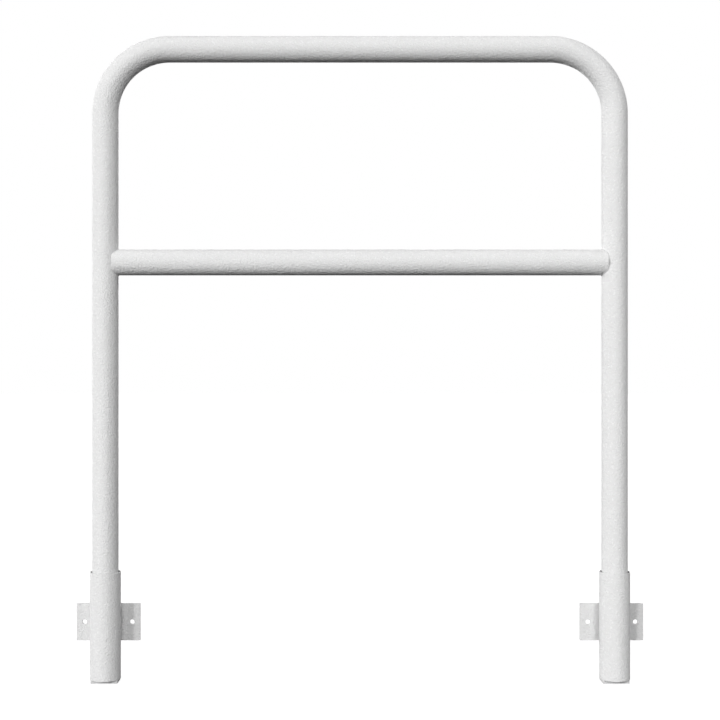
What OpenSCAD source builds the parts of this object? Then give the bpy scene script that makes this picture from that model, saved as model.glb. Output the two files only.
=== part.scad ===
// Lift-out hoop barrier: one bent steel tube with a cross bar, standing in two
// short sleeves that are fixed by the drilled plates on their backs.
// Millimetres, +Z up, front towards -Y. The origin is the centre of the left
// fixing plate's back face.

/* [Hoop] */
// Outer diameter of the hoop's tube and of the cross bar
tube_d = 48.3; // [42.4:0.1:50]
// Wall of the hoop's tube and of the cross bar
tube_t = 2.6; // [2:0.1:4]
// Width of the hoop over both legs
hoop_w = 1000; // [600:10:2000]
// Height of the hoop above the sleeve mouths
hoop_h = 1000; // [700:10:1400]
// Bend radius of the two top corners, at the middle of the tube
bend_r = 120; // [80:5:200]

/* [Cross bar] */
// Clear gap between the top rail and the cross bar
upper_gap = 350; // [200:10:450]
// Distance from a leg's axis at which the coped tips of the cross bar are cut blunt
tip_x = 15; // [12:0.5:18]

/* [Sleeves] */
// Outer diameter of a sleeve
sleeve_d = 57; // [56:0.1:63.5]
// Wall of a sleeve
sleeve_t = 2; // [1.5:0.1:2.9]
// Length of a sleeve
sleeve_len = 200; // [150:10:400]

/* [Fixing plates] */
// Width of a fixing plate
plate_w = 120; // [100:5:160]
// Height of a fixing plate
plate_h = 70; // [40:5:120]
// Thickness of a fixing plate
plate_t = 5; // [4:1:8]
// Distance between the two holes of a fixing plate
hole_pitch = 90; // [76:1:96]
// Diameter of a hole in a fixing plate
hole_d = 9; // [7:0.5:13]

/* [Stop strips] */
// Length of the flat strip across a sleeve's foot
strip_w = 50; // [46:1:54]
// Width of the strip, which leaves a drain gap in front of it and behind it
strip_depth = 30; // [20:1:36]
// Thickness of the strip
strip_t = 6; // [4:1:8]

/* [Welds] */
// How far the cross bar's weld reaches out over both tubes
bar_weld = 2.5; // [1.5:0.5:4]
// Half the width over the two welds between a sleeve and its plate, at the plate
plate_weld = 16; // [12:1:20]
// Leg of the short welds at the ends of a stop strip
strip_weld = 3; // [2:0.5:4]

/* [Hidden] */
$fn = 96;

steel = "#d4d6d5";
socket_steel = "#c6c9c8";
weld_metal = "#b9bcbb";

tube_r = tube_d / 2;
sleeve_r = sleeve_d / 2;
left_x = 0;
right_x = hoop_w - tube_d;
leg_xs = [left_x, right_x];
leg_y = -(plate_t + sleeve_r);
mouth_z = sleeve_len / 2;
foot_z = -sleeve_len / 2;
rail_z = mouth_z + hoop_h - tube_r;
bend_z = rail_z - bend_r;
bar_z = rail_z - tube_d - upper_gap;

// Depth by which a cutting shape runs past the surface that it cuts
past = 1;
// Reach of the bar's weld in front of the blunt tips
tip_weld = 2;
// The plate's weld starts here, short of the line where sleeve and plate touch
weld_root = 6;
// How much narrower the welds are where they end on the sleeve
weld_slope = 2;
// Length of the plate weld that is left off at each end of the plate
weld_stop = 4;
// Length of the weld at each end of a stop strip
strip_weld_len = 20;

module pipe(d, t, h) {
    difference() {
        cylinder(d = d, h = h);
        translate([0, 0, -past])
            cylinder(d = d - 2 * t, h = h + 2 * past);
    }
}

// A round bar of diameter d along the hoop's centre line: leg, bend, rail, bend, leg
module hoop_line(d, past_foot) {
    for (x = leg_xs)
        translate([x, leg_y, foot_z - past_foot])
            cylinder(d = d, h = bend_z - foot_z + past_foot);
    for (bend = [[bend_r, 90], [right_x - bend_r, 0]])
        translate([bend[0], leg_y, bend_z])
            rotate([90, 0, 0])
                rotate([0, 0, bend[1]])
                    rotate_extrude(angle = 90)
                        translate([bend_r, 0])
                            circle(d = d);
    translate([bend_r, leg_y, rail_z])
        rotate([0, 90, 0])
            cylinder(d = d, h = right_x - 2 * bend_r);
}

module hoop_tube() {
    color(steel)
        difference() {
            hoop_line(tube_d, 0);
            hoop_line(tube_d - 2 * tube_t, past);
        }
}

// The cross bar is coped to the legs and its thin front and back tips are cut blunt
module cross_bar() {
    color(steel)
        difference() {
            translate([tip_x, leg_y, bar_z])
                rotate([0, 90, 0])
                    pipe(tube_d, tube_t, right_x - 2 * tip_x);
            for (x = leg_xs)
                translate([x, leg_y, bar_z - tube_d])
                    cylinder(d = tube_d, h = 2 * tube_d);
        }
}

// Weld round the saddle, drawn at a leg whose axis is X = 0 with the bar towards +X
module saddle_weld() {
    reach_r = tube_r + bar_weld;
    difference() {
        intersection() {
            translate([tip_x - tip_weld, 0, 0])
                rotate([0, 90, 0])
                    cylinder(r = reach_r, h = tube_d);
            translate([0, 0, -tube_d])
                cylinder(r = reach_r, h = 2 * tube_d);
        }
        translate([0, 0, -2 * tube_d])
            cylinder(r = tube_r, h = 4 * tube_d);
        translate([tip_x, 0, 0])
            rotate([0, 90, 0])
                cylinder(r = tube_r, h = 2 * tube_d);
    }
}

module cross_bar_weld(x, turn) {
    color(weld_metal)
        translate([x, leg_y, bar_z])
            rotate([0, 0, turn])
                saddle_weld();
}

module sleeve(x) {
    color(socket_steel)
        translate([x, leg_y, foot_z])
            pipe(sleeve_d, sleeve_t, sleeve_len);
}

module fixing_plate(x) {
    color(socket_steel)
        translate([x, 0, 0])
            difference() {
                translate([-plate_w / 2, -plate_t, -plate_h / 2])
                    cube([plate_w, plate_t, plate_h]);
                for (side = [-1, 1])
                    translate([side * hole_pitch / 2, past, 0])
                        rotate([90, 0, 0])
                            cylinder(d = hole_d, h = plate_t + 2 * past);
            }
}

// Two upright welds in the narrow grooves between the sleeve's back and the plate
module plate_welds(x) {
    face_x = plate_weld - weld_slope;
    face_y = sleeve_r - sqrt(sleeve_r * sleeve_r - face_x * face_x);
    color(weld_metal)
        translate([x, -plate_t, weld_stop - plate_h / 2])
            linear_extrude(plate_h - 2 * weld_stop)
                for (side = [-1, 1])
                    difference() {
                        polygon([
                            [side * weld_root, 0],
                            [side * plate_weld, 0],
                            [side * face_x, -face_y],
                            [side * weld_root, -face_y]
                        ]);
                        translate([0, -sleeve_r])
                            circle(d = sleeve_d);
                    }
}

module stop_strip(x) {
    color(socket_steel)
        translate([x - strip_w / 2, leg_y - strip_depth / 2, foot_z - strip_t])
            cube([strip_w, strip_depth, strip_t]);
}

// Short welds between the strip's two ends and the underside of the sleeve's rim
module stop_welds(x) {
    color(weld_metal)
        translate([x, leg_y, foot_z])
            intersection() {
                for (turn = [0, 180])
                    rotate([0, 0, turn])
                        translate([strip_w / 2, strip_weld_len / 2, 0])
                            rotate([90, 0, 0])
                                linear_extrude(strip_weld_len)
                                    polygon([[0, 0], [0, -strip_weld], [strip_weld, 0]]);
                translate([0, 0, -strip_t])
                    cylinder(d = sleeve_d, h = strip_t);
            }
}

hoop_tube();
cross_bar();
cross_bar_weld(left_x, 0);  // cross_bar_weld_left
cross_bar_weld(right_x, 180);  // cross_bar_weld_right
sleeve(left_x);  // left_sleeve
sleeve(right_x);  // right_sleeve
fixing_plate(left_x);  // left_fixing_plate
fixing_plate(right_x);  // right_fixing_plate
plate_welds(left_x);  // left_plate_weld
plate_welds(right_x);  // right_plate_weld
stop_strip(left_x);  // left_stop_strip
stop_strip(right_x);  // right_stop_strip
stop_welds(left_x);  // left_stop_weld
stop_welds(right_x);  // right_stop_weld
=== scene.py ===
"""A lift-out hoop barrier in hot-dip galvanised steel, on a white studio floor.

Each visible piece is a surface worked out on a grid of points. It stands for the
solid of the same name, and takes its place and size from that solid's box.
Lengths are in metres, +Z is up and the front faces -Y.
"""

import bpy
import numpy as np
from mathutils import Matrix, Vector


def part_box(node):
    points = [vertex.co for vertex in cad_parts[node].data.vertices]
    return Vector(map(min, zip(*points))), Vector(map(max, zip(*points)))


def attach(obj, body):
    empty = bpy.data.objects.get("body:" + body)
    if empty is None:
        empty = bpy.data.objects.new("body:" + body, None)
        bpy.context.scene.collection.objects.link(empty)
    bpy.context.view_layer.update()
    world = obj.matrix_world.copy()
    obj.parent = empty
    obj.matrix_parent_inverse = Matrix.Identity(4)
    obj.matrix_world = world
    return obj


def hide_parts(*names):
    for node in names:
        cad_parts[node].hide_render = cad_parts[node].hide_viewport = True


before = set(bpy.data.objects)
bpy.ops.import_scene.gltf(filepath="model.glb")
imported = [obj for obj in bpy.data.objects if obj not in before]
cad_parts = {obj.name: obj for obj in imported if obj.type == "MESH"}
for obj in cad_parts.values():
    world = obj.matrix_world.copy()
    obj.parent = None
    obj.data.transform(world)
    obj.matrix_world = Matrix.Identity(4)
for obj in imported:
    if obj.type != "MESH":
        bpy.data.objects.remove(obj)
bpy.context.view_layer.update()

scene = bpy.context.scene
MM = 0.001
TURN = 2 * np.pi

# Sizes that the boxes of the solids give. A round solid is measured at its top or at its outer side
hoop_low, hoop_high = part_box("hoop_tube")
bar_low, bar_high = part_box("cross_bar")
sleeve_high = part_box("left_sleeve")[1]
plate_low, plate_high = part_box("left_fixing_plate")
right_plate_low, right_plate_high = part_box("right_fixing_plate")
strip_low, strip_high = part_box("left_stop_strip")

plate_w = plate_high.x - plate_low.x
plate_h = plate_high.z - plate_low.z
plate_t = plate_high.y - plate_low.y
left_x = (plate_low.x + plate_high.x) / 2
right_x = (right_plate_low.x + right_plate_high.x) / 2
tube_r = left_x - hoop_low.x
sleeve_r = sleeve_high.x - left_x
leg_y = plate_low.y - sleeve_r
foot_z = hoop_low.z
mouth_z = sleeve_high.z
rail_z = hoop_high.z - tube_r
bar_z = (bar_high.z + bar_low.z) / 2
# How far the cross bar's blunt tips stay from the leg's axis
tip_x = bar_low.x - left_x
# The floor lies this far under the strips, so that no two surfaces share a place
floor_gap = 0.5 * MM
floor_z = strip_low.z - floor_gap

# Sizes that no box gives, as in the part
tube_wall = 2.6 * MM
sleeve_wall = 2 * MM
bend_r = 120 * MM
hole_pitch = 90 * MM
hole_r = 4.5 * MM

# Small radii of cut edges under their zinc
saw_edge = 0.5 * MM
shear_edge = 0.5 * MM
# A ring of points lies this many edge radii from each end, and keeps the skin's shading straight
beside_edge = 3


# Camera

# The photograph's camera stands level and square to the hoop, on its middle line
camera_distance = 2392.6 * MM
camera_z = 495.3 * MM
lens_mm = 64
sensor_mm = 36

camera_data = bpy.data.cameras.new("studio_camera")
camera_data.lens = lens_mm
camera_data.sensor_width = sensor_mm
camera_data.clip_end = 50
camera = bpy.data.objects.new("studio_camera", camera_data)
camera.location = ((left_x + right_x) / 2, leg_y - camera_distance, camera_z)
camera.rotation_euler = (np.pi / 2, 0, 0)
scene.collection.objects.link(camera)
scene.camera = camera


# Surfaces

def smooth_step(x):
    """0 below 0, 1 above 1, and the cubic 3x^2 - 2x^3 between."""
    x = np.clip(x, 0, 1)
    return x * x * (3 - 2 * x)


def new_piece(name, points, faces, painted_shade=1.0):
    """A smooth mesh object. Its last argument is painted shade: 1 where the colour is left as it is, and
    less where it is darkened to stand in for shade, for each point or for all of them."""
    mesh = bpy.data.meshes.new(name)
    mesh.from_pydata(points.reshape(-1, 3), [], faces)
    # A point attribute that carries the painted shade, by which the zinc's colour is multiplied
    brightness = mesh.attributes.new("painted_shade", "FLOAT", "POINT")
    brightness.data.foreach_set("value", np.broadcast_to(painted_shade, len(mesh.vertices)).astype(np.float32))
    mesh.shade_smooth()
    mesh.update()
    piece = bpy.data.objects.new(name, mesh)
    scene.collection.objects.link(piece)
    return piece


def grid_faces(rows, columns, closed_rows, start=0):
    """Quads between neighbouring points of a grid whose columns close into rings. The rows close too
    if closed_rows, as on a torus. Otherwise one many-sided face closes the grid at each end. start is
    the number of the grid's first point."""
    last = rows if closed_rows else rows - 1
    row = np.arange(last)[:, None]
    column = np.arange(columns)[None, :]
    row_next = (row + 1) % rows
    column_next = (column + 1) % columns
    quads = start + np.stack([
        row * columns + column,
        row * columns + column_next,
        row_next * columns + column_next,
        row_next * columns + column,
    ], axis=-1)
    quads = quads.reshape(-1, 4).tolist()
    if closed_rows:
        return quads
    first_ring = start + np.arange(columns)
    last_ring = first_ring + (rows - 1) * columns
    return quads + [first_ring[::-1].tolist(), last_ring.tolist()]


def pipe_wall(length, outer, inner, edge, stations, arc=5):
    """The closed outline of a pipe's wall, as distances along the pipe and radii: out along the outer
    skin through the stations, round the end, and back along the bore. Each of the four corners is a
    quarter circle of radius edge with as many points as arc says."""
    quarter = np.linspace(0, np.pi / 2, arc)
    beside = beside_edge * edge
    skin = np.concatenate([[beside], stations, [length - beside]])
    parts = [
        (edge - edge * np.cos(quarter), outer - edge + edge * np.sin(quarter)),
        (skin, np.full(skin.size, outer)),
        (length - edge + edge * np.sin(quarter), outer - edge + edge * np.cos(quarter)),
        (length - edge + edge * np.cos(quarter), inner + edge - edge * np.sin(quarter)),
        (skin[::-1], np.full(skin.size, inner)),
        (edge - edge * np.sin(quarter), inner + edge - edge * np.cos(quarter)),
    ]
    along = np.concatenate([part[0] for part in parts])
    radius = np.concatenate([part[1] for part in parts])
    return along, radius


# Painted shade: the share of the zinc's colour kept on a pipe's sawn rim and inside its bore, darkened
# there to stand in for shade
rim_painted_shade = 0.90
bore_painted_shade = 0.25


def wall_painted_shade(radius, outer, sides):
    """Painted shade for the points of a pipe's wall: none on the skin, a little on the rim, deep in the
    bore. The colour kept falls with the radius."""
    inner = radius.min()
    places = [inner, inner + saw_edge, outer - saw_edge, outer]
    levels = [bore_painted_shade, rim_painted_shade, rim_painted_shade, 1.0]
    return np.repeat(np.interp(radius, places, levels), sides)


# The bent hoop

leg_length = rail_z - bend_r - foot_z
rail_length = right_x - left_x - 2 * bend_r
bend_length = bend_r * np.pi / 2
hoop_length = 2 * leg_length + 2 * bend_length + rail_length
# How much a bend squeezes the tube in the plane of the bend
bend_squeeze = 0.02


def hoop_line(s):
    """Places on the hoop's centre line and how far it has turned, for distances s from the left foot.
    The line climbs, turns a quarter circle twice with the rail between, and comes down."""
    second = leg_length + bend_length + rail_length
    turn_1 = np.clip((s - leg_length) / bend_r, 0, np.pi / 2)
    turn_2 = np.clip((s - second) / bend_r, 0, np.pi / 2)
    on_rail = np.clip(s - leg_length - bend_length, 0, rail_length)
    down = np.clip(s - second - bend_length, 0, None)
    x = left_x + bend_r * (1 - np.cos(turn_1)) + on_rail + bend_r * np.sin(turn_2)
    z = foot_z + np.minimum(s, leg_length) + bend_r * np.sin(turn_1)
    z = z - bend_r * (1 - np.cos(turn_2)) - down
    return x, z, turn_1 + turn_2


def make_hoop(sides=112, leg_rings=12, bend_rings=40, rail_rings=9):
    """The wall outline carried along the centre line: a point of a ring stands off the line by its
    radius, by a cosine in the plane of the bend and by a sine across it."""
    from_foot = 50 * MM
    from_bend = 10 * MM
    legs = np.linspace(from_foot, leg_length - from_bend, leg_rings)
    bend = np.linspace(0, bend_length, bend_rings)
    rail = np.linspace(from_bend, rail_length - from_bend, rail_rings)
    stations = np.concatenate([
        legs,
        leg_length + bend,
        leg_length + bend_length + rail,
        leg_length + bend_length + rail_length + bend,
        hoop_length - legs[::-1],
    ])
    along, radius = pipe_wall(hoop_length, tube_r, tube_r - tube_wall, saw_edge, stations)
    x, z, turned = hoop_line(along)
    angle = np.linspace(0, TURN, sides, endpoint=False)
    squeeze = 1 - bend_squeeze * np.sin(2 * turned) ** 2
    outward = (radius * squeeze)[:, None] * np.cos(angle)
    across = -radius[:, None] * np.sin(angle)
    points = np.stack([
        x[:, None] - np.cos(turned)[:, None] * outward,
        leg_y + across,
        z[:, None] + np.sin(turned)[:, None] * outward,
    ], axis=-1)
    # Painted shade darkens the bore and the rims
    painted_shade = wall_painted_shade(radius, tube_r, sides)
    piece = new_piece("hoop_tube_skin", points, grid_faces(*points.shape[:2], True), painted_shade)
    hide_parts("hoop_tube")
    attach(piece, "hoop")
    return piece


# The coped cross bar

def cope(angle, radius):
    """Distance from a leg's axis at which the bar's skin of that radius ends: where it meets the leg,
    but nowhere short of the blunt tips. The high power rounds the corner between the two."""
    power = 26
    on_leg = np.sqrt(np.maximum(tube_r ** 2 - (radius * np.cos(angle)) ** 2, 0))
    return (on_leg ** power + tip_x ** power) ** (1 / power)


def make_cross_bar(sides=144, rings=12):
    """The wall outline stretched, for each angle round the bar, between the copes of its two ends."""
    span = right_x - left_x
    from_end = 20 * MM
    stations = np.linspace(from_end, span - from_end, rings)
    along, radius = pipe_wall(span, tube_r, tube_r - tube_wall, saw_edge, stations)
    angle = np.linspace(0, TURN, sides, endpoint=False)
    start = cope(angle[None, :], radius[:, None])
    x = left_x + start + along[:, None] * (1 - 2 * start / span)
    across = radius[:, None] * np.cos(angle)
    up = radius[:, None] * np.sin(angle)
    points = np.stack([x, leg_y + across, bar_z + up], axis=-1)
    # Painted shade darkens the bore and the rims
    painted_shade = wall_painted_shade(radius, tube_r, sides)
    piece = new_piece("cross_bar_skin", points, grid_faces(*points.shape[:2], True), painted_shade)
    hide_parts("cross_bar")
    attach(piece, "hoop")
    return piece


# Sleeves

def make_sleeve(side, centre_x, sides=112, rings=5):
    """The wall outline turned round the leg's axis."""
    length = mouth_z - foot_z
    from_end = 20 * MM
    stations = np.linspace(from_end, length - from_end, rings)
    along, radius = pipe_wall(length, sleeve_r, sleeve_r - sleeve_wall, saw_edge, stations)
    angle = np.linspace(0, TURN, sides, endpoint=False)
    x = radius[:, None] * np.cos(angle)
    y = radius[:, None] * np.sin(angle)
    z = np.broadcast_to(foot_z + along[:, None], x.shape)
    points = np.stack([centre_x + x, leg_y + y, z], axis=-1)
    # Painted shade darkens the bore and the rims
    painted_shade = wall_painted_shade(radius, sleeve_r, sides)
    piece = new_piece(f"{side}_sleeve_skin", points, grid_faces(*points.shape[:2], True), painted_shade)
    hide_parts(f"{side}_sleeve")
    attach(piece, "sockets")
    return piece


# Flat pieces

def round_edges(piece, thickness, edge):
    """Gives a flat sheet its thickness towards +Y, and rounds every edge where its faces turn by more
    than sharp."""
    sharp = np.radians(50)
    solid = piece.modifiers.new("thickness", "SOLIDIFY")
    solid.thickness = thickness
    solid.offset = -1
    bevel = piece.modifiers.new("edges", "BEVEL")
    bevel.width = edge
    bevel.segments = 3
    bevel.limit_method = "ANGLE"
    bevel.angle_limit = sharp
    bevel.harden_normals = True


def make_fixing_plate(side, centre_x, per_side=12, rings=6):
    """Each half of the plate is a sheet of points that slide straight from the half's outline to the
    hole's rim. The halves share the points of the middle line."""
    half_w = plate_w / 2
    half_h = plate_h / 2
    step = np.linspace(0, 1, per_side, endpoint=False)
    corners = np.array([[0, -half_h], [half_w, -half_h], [half_w, half_h], [0, half_h]])
    ahead = np.roll(corners, -1, axis=0)
    outline = (corners[:, None] + step[None, :, None] * (ahead - corners)[:, None]).reshape(-1, 2)
    hole = np.array([hole_pitch / 2, 0])
    ray = outline - hole
    rim = hole + hole_r * ray / np.linalg.norm(ray, axis=1, keepdims=True)
    slide = np.linspace(0, 1, rings)[:, None, None]
    half = outline * (1 - slide) + rim * slide
    flat = np.concatenate([half, half[:, ::-1] * [-1, 1]]).reshape(-1, 2)
    points = np.stack([centre_x + flat[:, 0], np.full(len(flat), -plate_t), flat[:, 1]], axis=-1)

    # Outline and rim stay open, so the two faces that would close them are left out
    columns = len(outline)
    quads = np.array(grid_faces(rings, columns, False)[:-2])
    quads = np.concatenate([quads, quads + rings * columns])
    # Points of the two halves that are nearer than this are one point
    nearer = 0.001 * MM
    keys = np.round(points / nearer).astype(int)
    _, first, shared = np.unique(keys, axis=0, return_index=True, return_inverse=True)
    points = points[first]
    faces = shared.ravel()[quads].tolist()
    piece = new_piece(f"{side}_fixing_plate_skin", points, faces)
    round_edges(piece, plate_t, shear_edge)
    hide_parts(f"{side}_fixing_plate")
    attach(piece, "sockets")
    return piece


def make_stop_strip(side, corner=0.8 * MM, arc=4):
    """A rounded rectangle carried along the strip. Its first and last rings shrink by a quarter circle,
    so the two ends are rounded as well."""
    low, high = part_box(f"{side}_stop_strip")
    length = high.x - low.x
    half_depth = (high.y - low.y) / 2
    half_height = (high.z - low.z) / 2
    quarter = np.linspace(0, np.pi / 2, arc)
    angle = np.concatenate([quarter + k * np.pi / 2 for k in range(4)])
    sign_y = np.repeat([1, -1, -1, 1], arc)
    sign_z = np.repeat([1, 1, -1, -1], arc)
    beside = beside_edge * corner
    end_along = corner * (1 - np.cos(quarter))
    end_inset = corner * (1 - np.sin(quarter))
    along = np.concatenate([end_along, [beside, length - beside], length - end_along[::-1]])
    inset = np.concatenate([end_inset, [0, 0], end_inset[::-1]])[:, None]
    y = (low.y + high.y) / 2 + sign_y * (half_depth - corner - inset) + corner * np.cos(angle)
    z = (low.z + high.z) / 2 + sign_z * (half_height - corner - inset) + corner * np.sin(angle)
    x = np.broadcast_to(low.x + along[:, None], y.shape)
    points = np.stack([x, y, z], axis=-1)
    piece = new_piece(f"{side}_stop_strip_skin", points, grid_faces(*points.shape[:2], False))
    piece.modifiers.new("flat_sides", "WEIGHTED_NORMAL")
    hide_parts(f"{side}_stop_strip")
    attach(piece, "sockets")
    return piece


# Welds

ripple_pitch = 2.4 * MM
ripple_height = 0.18 * MM
# How far the middle of a ripple bows forward, in radians of its wave
ripple_bow = 1.2
# How far a bead runs on under the skins past its toes, as a share of its width
past_toe = 0.12
# How far the root of a bead is sunk into the joint
root_sunk = 0.4 * MM
# An open run tapers over this many widths, and keeps this share of its width at the very end
taper_widths = 1.5
end_share = 0.15
# How high a plain bead arches over its chord, as a share of the chord
plain_crown = 0.1


def bead(root, toe_a, toe_b, closed, crown, across=11):
    """Points of a weld run: for each place along it an arch from one toe to the other, and a root sunk
    behind them. The arch is a parabola that rises over the chord by the share crown of the chord, and
    is hollow where crown is below 0. It runs on under the skins past both toes, and scalloped ripples
    cross it. An open run tapers to its ends as a quarter circle does."""
    middle = (toe_a + toe_b) / 2
    away = middle - root
    away = away / np.linalg.norm(away, axis=1, keepdims=True)
    chord = np.linalg.norm(toe_b - toe_a, axis=1, keepdims=True)
    steps = np.linalg.norm(np.diff(middle, axis=0), axis=1)
    along = np.concatenate([[0], np.cumsum(steps)])
    if closed:
        full = along[-1] + np.linalg.norm(middle[0] - middle[-1])
        waves = np.round(full / ripple_pitch)
        full_height = np.ones_like(along)
    else:
        full = along[-1]
        waves = full / ripple_pitch
        from_end = np.minimum(along, full - along) / (taper_widths * chord.mean())
        full_height = np.sqrt(1 - (1 - np.clip(from_end, 0, 1)) ** 2)
    t = np.linspace(-past_toe, 1 + past_toe, across)[None, :, None]
    arch = 4 * t * (1 - t)
    phase = TURN * waves * along[:, None, None] / full - ripple_bow * arch
    ripple = ripple_height * np.abs(np.sin(phase / 2)) * np.maximum(arch, 0)
    height = (crown * chord[:, None] * arch + ripple) * full_height[:, None, None]
    shrink = end_share + (1 - end_share) * full_height[:, None, None]
    line = toe_a[:, None] * (1 - t) + toe_b[:, None] * t
    line = root[:, None] + (line - root[:, None]) * shrink
    ring = line + away[:, None] * height
    sunk = (root - root_sunk * away)[:, None]
    return np.concatenate([ring, sunk], axis=1)


def weld_piece(name, parts, closed, body, stands_for, painted_shade=1.0):
    """One object from one or more beads."""
    points = np.concatenate([part.reshape(-1, 3) for part in parts])
    faces = []
    start = 0
    for part in parts:
        rows, columns = part.shape[:2]
        faces += grid_faces(rows, columns, closed, start)
        start += rows * columns
    piece = new_piece(name, points, faces, painted_shade)
    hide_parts(stands_for)
    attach(piece, body)
    return piece


def make_saddle_weld(side, axis_x, towards, stations=420):
    """The bead round the bar's coped end. Its root follows the edge of the cope. One toe lies on the
    bar and the other on the leg, set off from the root away from the middle of the joint. In front of
    and behind the leg the bead lies under the blunt tips, so that their edges stay crisp."""
    bar_leg = 1.1 * MM
    leg_leg = 1.2 * MM
    tip_leg = 0.3 * MM
    tip_drop = 2.1 * MM
    crown = 0.12
    tip_crown = -0.08
    # Painted shade on the bead: its colour is darkened under the blunt tips, and a little in the throat
    # between bar and leg
    tip_painted_shade = 0.7
    throat_painted_shade = 0.93
    # The bead changes this far to both sides of where cope and blunt tip meet
    change = 0.12 * tip_x
    angle = np.linspace(0, TURN, stations, endpoint=False)
    end_x = cope(angle, tube_r)
    up = tube_r * np.sin(angle)
    blunt = smooth_step((tip_x + change - np.abs(up)) / (2 * change))
    side_y = np.sign(np.cos(angle))

    round_leg = np.arccos(np.clip(end_x / tube_r, -1, 1)) * tube_r
    reach = np.hypot(round_leg, up)
    set_off = (leg_leg + (tip_leg - leg_leg) * blunt) / reach
    toe_round = round_leg * (1 + set_off)
    toe_up = up * (1 + set_off)
    toe_leg = np.stack([
        tube_r * np.cos(toe_round / tube_r),
        side_y * tube_r * np.sin(toe_round / tube_r),
        toe_up,
    ], axis=-1)
    toe_r = tube_r - tip_drop * blunt
    toe_bar = np.stack([
        end_x + bar_leg * (1 - blunt),
        toe_r * np.cos(angle),
        toe_r * np.sin(angle),
    ], axis=-1)
    root = np.stack([
        end_x,
        side_y * np.sqrt(np.maximum(tube_r ** 2 - end_x ** 2, 0)),
        up,
    ], axis=-1)

    def placed(points):
        return points * [towards, 1, 1] + [axis_x, leg_y, bar_z]

    crowns = (crown + (tip_crown - crown) * blunt)[:, None, None]
    part = bead(placed(root), placed(toe_bar), placed(toe_leg), True, crowns)
    if towards < 0:
        part = part[:, ::-1]
    # Painted shade along the bead, deepest under the blunt tips
    painted_shade = np.repeat(throat_painted_shade + (tip_painted_shade - throat_painted_shade) * blunt, part.shape[1])
    name = f"cross_bar_weld_{side}"
    return weld_piece(f"{name}_bead", [part], True, "hoop", name, painted_shade)


def make_plate_welds(side, centre_x, stations=160):
    """Two upright beads that fill the grooves between the sleeve's back and the plate. A groove is as
    deep as the sleeve's circle has moved off the plate at the toe on the sleeve."""
    low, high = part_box(f"{side}_plate_weld")
    plate_toe = (high.x - low.x) / 2
    sleeve_toe = plate_toe - 2 * MM
    root_x = 0.55 * plate_toe
    depth = sleeve_r - np.sqrt(sleeve_r ** 2 - sleeve_toe ** 2)
    root_depth = 0.3 * depth
    up = np.linspace(low.z, high.z, stations)
    ones = np.ones(stations)

    def upright(x, off_plate):
        return np.stack([(centre_x + x) * ones, (-plate_t - off_plate) * ones, up], axis=-1)

    parts = []
    for sign in (-1, 1):
        root = upright(sign * root_x, root_depth)
        toe_plate = upright(sign * plate_toe, 0)
        toe_sleeve = upright(sign * sleeve_toe, depth)
        part = bead(root, toe_plate, toe_sleeve, False, plain_crown)
        parts.append(part if sign < 0 else part[:, ::-1])
    return weld_piece(f"{side}_plate_weld_beads", parts, False, "sockets", f"{side}_plate_weld")


def make_stop_welds(side, centre_x, stations=60):
    """Short beads under the sleeve's rim at the two ends of the stop strip."""
    low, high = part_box(f"{side}_stop_weld")
    strip_half = (strip_high.x - strip_low.x) / 2
    leg = high.z - low.z
    root_drop = 0.5 * MM
    y = np.linspace(low.y, high.y, stations)
    rim_x = np.sqrt(sleeve_r ** 2 - (y - leg_y) ** 2)
    out = np.minimum(strip_half + leg, rim_x)
    ones = np.ones(stations)

    def below_rim(x, drop):
        return np.stack([(centre_x + x) * ones, y, (foot_z - drop) * ones], axis=-1)

    parts = []
    for sign in (-1, 1):
        root = below_rim(sign * strip_half, root_drop)
        toe_strip = below_rim(sign * strip_half, leg)
        toe_rim = below_rim(sign * out, 0)
        part = bead(root, toe_strip, toe_rim, False, plain_crown)
        parts.append(part if sign < 0 else part[:, ::-1])
    return weld_piece(f"{side}_stop_weld_beads", parts, False, "sockets", f"{side}_stop_weld")


# Finishes

# Sizes of the zinc's crystals, pale flecks and peel. The peel is drawn deeper than the real one,
# because it is hardly wider than a pixel of the render and would be lost
crystal_mm = 6
fleck_mm = 3.4
peel_mm = 3.0
# The flecks' noise starts to show at the first of these values and shows most from the second on
fleck_from = 0.60
fleck_full = 0.70
fleck_share = 0.7
# Nearly all values of a noise lie between these two
noise_low = 0.3
noise_high = 0.7
# The hollows of the peel are rougher than its mean by this, and its humps smoother
rough_spread = 0.07
# A fifth of the shine of a plain varnish, which stands at 0.5
chalk_shine = 0.1


def linear(code):
    """An sRGB hex colour as linear RGBA, by the sRGB curve."""
    value = np.array([int(code[k:k + 2], 16) for k in (1, 3, 5)]) / 255
    value = np.where(value <= 0.04045, value / 12.92, ((value + 0.055) / 1.055) ** 2.4)
    return (*value.tolist(), 1.0)


def add(tree, kind, links=(), **settings):
    """Adds a node. A setting whose name is one of the node's own is set there, and any other goes to
    the input of that name, with spaces for underscores. links pairs an input with an output."""
    made = tree.nodes.new(kind)
    for key, value in settings.items():
        if hasattr(made, key):
            setattr(made, key, value)
        else:
            made.inputs[key.replace("_", " ")].default_value = value
    for target, source in links:
        tree.links.new(made.inputs[target], source)
    return made


def new_material(name):
    """A material with an empty node tree, and that tree."""
    material = bpy.data.materials.new(name)
    material.use_nodes = True
    material.node_tree.nodes.clear()
    return material, material.node_tree


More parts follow.
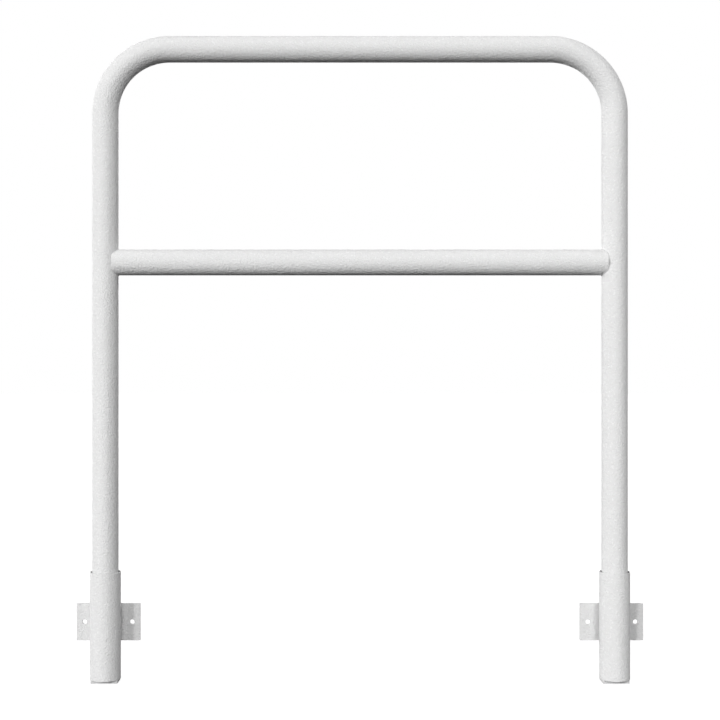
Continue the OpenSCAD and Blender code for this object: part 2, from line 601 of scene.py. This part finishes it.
def hot_dip_galvanised(form, colour, dark, light, bump_mm, rough):
    """Hot-dip galvanised steel of some form. The zinc froze to a fine-grained skin, dimpled like orange
    peel, and its pale bloom scatters light like chalk, so that hardly any gloss is left. The crystals
    are of all greys from dark to colour, and the flecks on them are light."""
    material, tree = new_material(f"hot_dip_galvanised_{form}")
    place = add(tree, "ShaderNodeTexCoord")
    crystal = add(tree, "ShaderNodeTexVoronoi", [("Vector", place.outputs["Object"])],
                  Scale=1 / (crystal_mm * MM), Randomness=1.0)
    crystal_grey = add(tree, "ShaderNodeSeparateColor", [("Color", crystal.outputs["Color"])])
    tone = add(tree, "ShaderNodeValToRGB", [("Fac", crystal_grey.outputs["Red"])])
    tone.color_ramp.elements[0].color = linear(dark)
    tone.color_ramp.elements[1].color = linear(colour)
    fleck = add(tree, "ShaderNodeTexNoise", [("Vector", place.outputs["Object"])],
                Scale=1 / (fleck_mm * MM), Detail=1.0, Roughness=0.5)
    fleck_on = add(tree, "ShaderNodeMapRange", [("Value", fleck.outputs["Fac"])],
                   From_Min=fleck_from, From_Max=fleck_full, To_Min=0.0, To_Max=fleck_share)
    flecked = add(tree, "ShaderNodeMix", [("Factor", fleck_on.outputs["Result"])], data_type="RGBA")
    colours = [socket for socket in flecked.inputs if socket.type == "RGBA"]
    tree.links.new(colours[0], tone.outputs["Color"])
    colours[1].default_value = linear(light)
    mixed = [socket for socket in flecked.outputs if socket.type == "RGBA"][0]
    # Painted shade: the colour is multiplied by the point attribute that darkens bores, rims and weld
    # tips
    painted_shade = add(tree, "ShaderNodeAttribute", attribute_name="painted_shade")
    colour_with_painted_shade = add(tree, "ShaderNodeVectorMath", [(0, mixed), (1, painted_shade.outputs["Fac"])],
                 operation="MULTIPLY")
    peel = add(tree, "ShaderNodeTexNoise", [("Vector", place.outputs["Object"])],
               Scale=1 / (peel_mm * MM), Detail=1.0, Roughness=0.5)
    gloss = add(tree, "ShaderNodeMapRange", [("Value", peel.outputs["Fac"])],
                From_Min=noise_low, From_Max=noise_high,
                To_Min=rough + rough_spread, To_Max=rough - rough_spread)
    bumps = add(tree, "ShaderNodeBump", [("Height", peel.outputs["Fac"])],
                Strength=1.0, Distance=bump_mm * MM)
    surface = add(tree, "ShaderNodeBsdfPrincipled", [
        ("Base Color", colour_with_painted_shade.outputs["Vector"]),
        ("Roughness", gloss.outputs["Result"]),
        ("Normal", bumps.outputs["Normal"]),
    ], Specular_IOR_Level=chalk_shine)
    add(tree, "ShaderNodeOutputMaterial", [("Surface", surface.outputs["BSDF"])])
    return material


def dress(piece, material):
    """Gives a piece this material alone."""
    piece.data.materials.clear()
    piece.data.materials.append(material)


# Studio

def direction(azimuth, elevation):
    """The rotation of a lamp that shines from this azimuth, counted from the camera's side towards +X,
    and this elevation, both in degrees."""
    return (np.pi / 2 - np.radians(elevation), 0, np.radians(azimuth))


def add_sun(name, azimuth, elevation, strength, spread):
    """A lamp far away, as wide in the sky as spread, in degrees. A strength of 1 lights a white sheet
    that faces it to white."""
    data = bpy.data.lights.new(name, "SUN")
    data.energy = strength * np.pi
    data.angle = np.radians(spread)
    lamp = bpy.data.objects.new(name, data)
    lamp.rotation_euler = direction(azimuth, elevation)
    scene.collection.objects.link(lamp)


def is_seen(tree):
    """1 for rays from the camera and for those that gloss or glass sends on."""
    path = add(tree, "ShaderNodeLightPath")
    gloss = add(tree, "ShaderNodeMath", [
        (0, path.outputs["Is Camera Ray"]), (1, path.outputs["Is Glossy Ray"]),
    ], operation="MAXIMUM")
    return add(tree, "ShaderNodeMath", [
        (0, gloss.outputs["Value"]), (1, path.outputs["Is Transmission Ray"]),
    ], operation="MAXIMUM").outputs["Value"]


# The floor reaches this far each way, in metres
floor_reach = 20
# What the camera sees of the floor is a grey paper in the light and shadow, with a glow added
paper_grey = "#9c9c9c"
paper_glow = 0.86
# What lights the object from below is a darker paper without the glow
dim_grey = "#464646"


def white_floor():
    """A floor that looks white with a faint shadow, and gives little light back to the undersides."""
    material, tree = new_material("studio_floor_paper")
    paper = add(tree, "ShaderNodeBsdfDiffuse", Color=linear(paper_grey))
    glow = add(tree, "ShaderNodeEmission", Color=(1, 1, 1, 1), Strength=paper_glow)
    white = add(tree, "ShaderNodeAddShader", [(0, paper.outputs["BSDF"]), (1, glow.outputs["Emission"])])
    dim = add(tree, "ShaderNodeBsdfDiffuse", Color=linear(dim_grey))
    mixed = add(tree, "ShaderNodeMixShader", [
        (0, is_seen(tree)), (1, dim.outputs["BSDF"]), (2, white.outputs["Shader"]),
    ])
    add(tree, "ShaderNodeOutputMaterial", [("Surface", mixed.outputs["Shader"])])
    mesh = bpy.data.meshes.new("studio_floor")
    turns = [(-1, -1), (1, -1), (1, 1), (-1, 1)]
    corners = [(x * floor_reach, y * floor_reach, floor_z) for x, y in turns]
    mesh.from_pydata(corners, [], [(0, 1, 2, 3)])
    floor = bpy.data.objects.new("studio_floor", mesh)
    scene.collection.objects.link(floor)
    dress(floor, material)


def white_world():
    """White behind the object and in its gloss. It throws no other light on the object."""
    world = bpy.data.worlds.new("studio_world")
    world.use_nodes = True
    tree = world.node_tree
    tree.nodes.clear()
    sky = add(tree, "ShaderNodeBackground", [("Strength", is_seen(tree))], Color=(1, 1, 1, 1))
    add(tree, "ShaderNodeOutputWorld", [("Surface", sky.outputs["Background"])])
    scene.world = world


# The barrier in its studio

zinc_tube = hot_dip_galvanised("tube", "#e6e6e6", "#e4e4e4", "#f4f4f4", bump_mm=1.7, rough=0.72)
zinc_sleeve = hot_dip_galvanised("sleeve", "#e6e6e6", "#e3e3e3", "#f4f4f4", bump_mm=1.65, rough=0.72)
# The flat pieces' zinc is a darker copy of the tube's: painted shade that tones down the plates and
# strips
zinc_flat = hot_dip_galvanised("flat_bar", "#dcdcdc", "#d9d9d9", "#e0e0e0", bump_mm=1.5, rough=0.72)
zinc_weld = hot_dip_galvanised("weld", "#dcdcdc", "#d8d8d8", "#e2e2e2", bump_mm=1.0, rough=0.70)

dress(make_hoop(), zinc_tube)
dress(make_cross_bar(), zinc_tube)
dress(make_saddle_weld("left", left_x, 1), zinc_weld)
dress(make_saddle_weld("right", right_x, -1), zinc_weld)
for side, centre_x in (("left", left_x), ("right", right_x)):
    dress(make_sleeve(side, centre_x), zinc_sleeve)
    dress(make_fixing_plate(side, centre_x), zinc_flat)
    dress(make_stop_strip(side), zinc_flat)
    dress(make_plate_welds(side, centre_x), zinc_weld)
    dress(make_stop_welds(side, centre_x), zinc_weld)

white_floor()
white_world()

# Azimuth, elevation, strength and spread of each lamp, matched to the light on tubes and plates
add_sun("front", 6, 22, 0.455, 21)
add_sun("front_left", -29, 18, 0.35, 9)
add_sun("side_left", -60, 11, 0.41, 17)
add_sun("side_right", 73, 18, 0.165, 36)
add_sun("back_left", -130, 8, 0.5, 29)
add_sun("top", 150, 60, 0.24, 28)
add_sun("behind", 172, 6, 0.4, 28)

scene.view_settings.view_transform = "Standard"
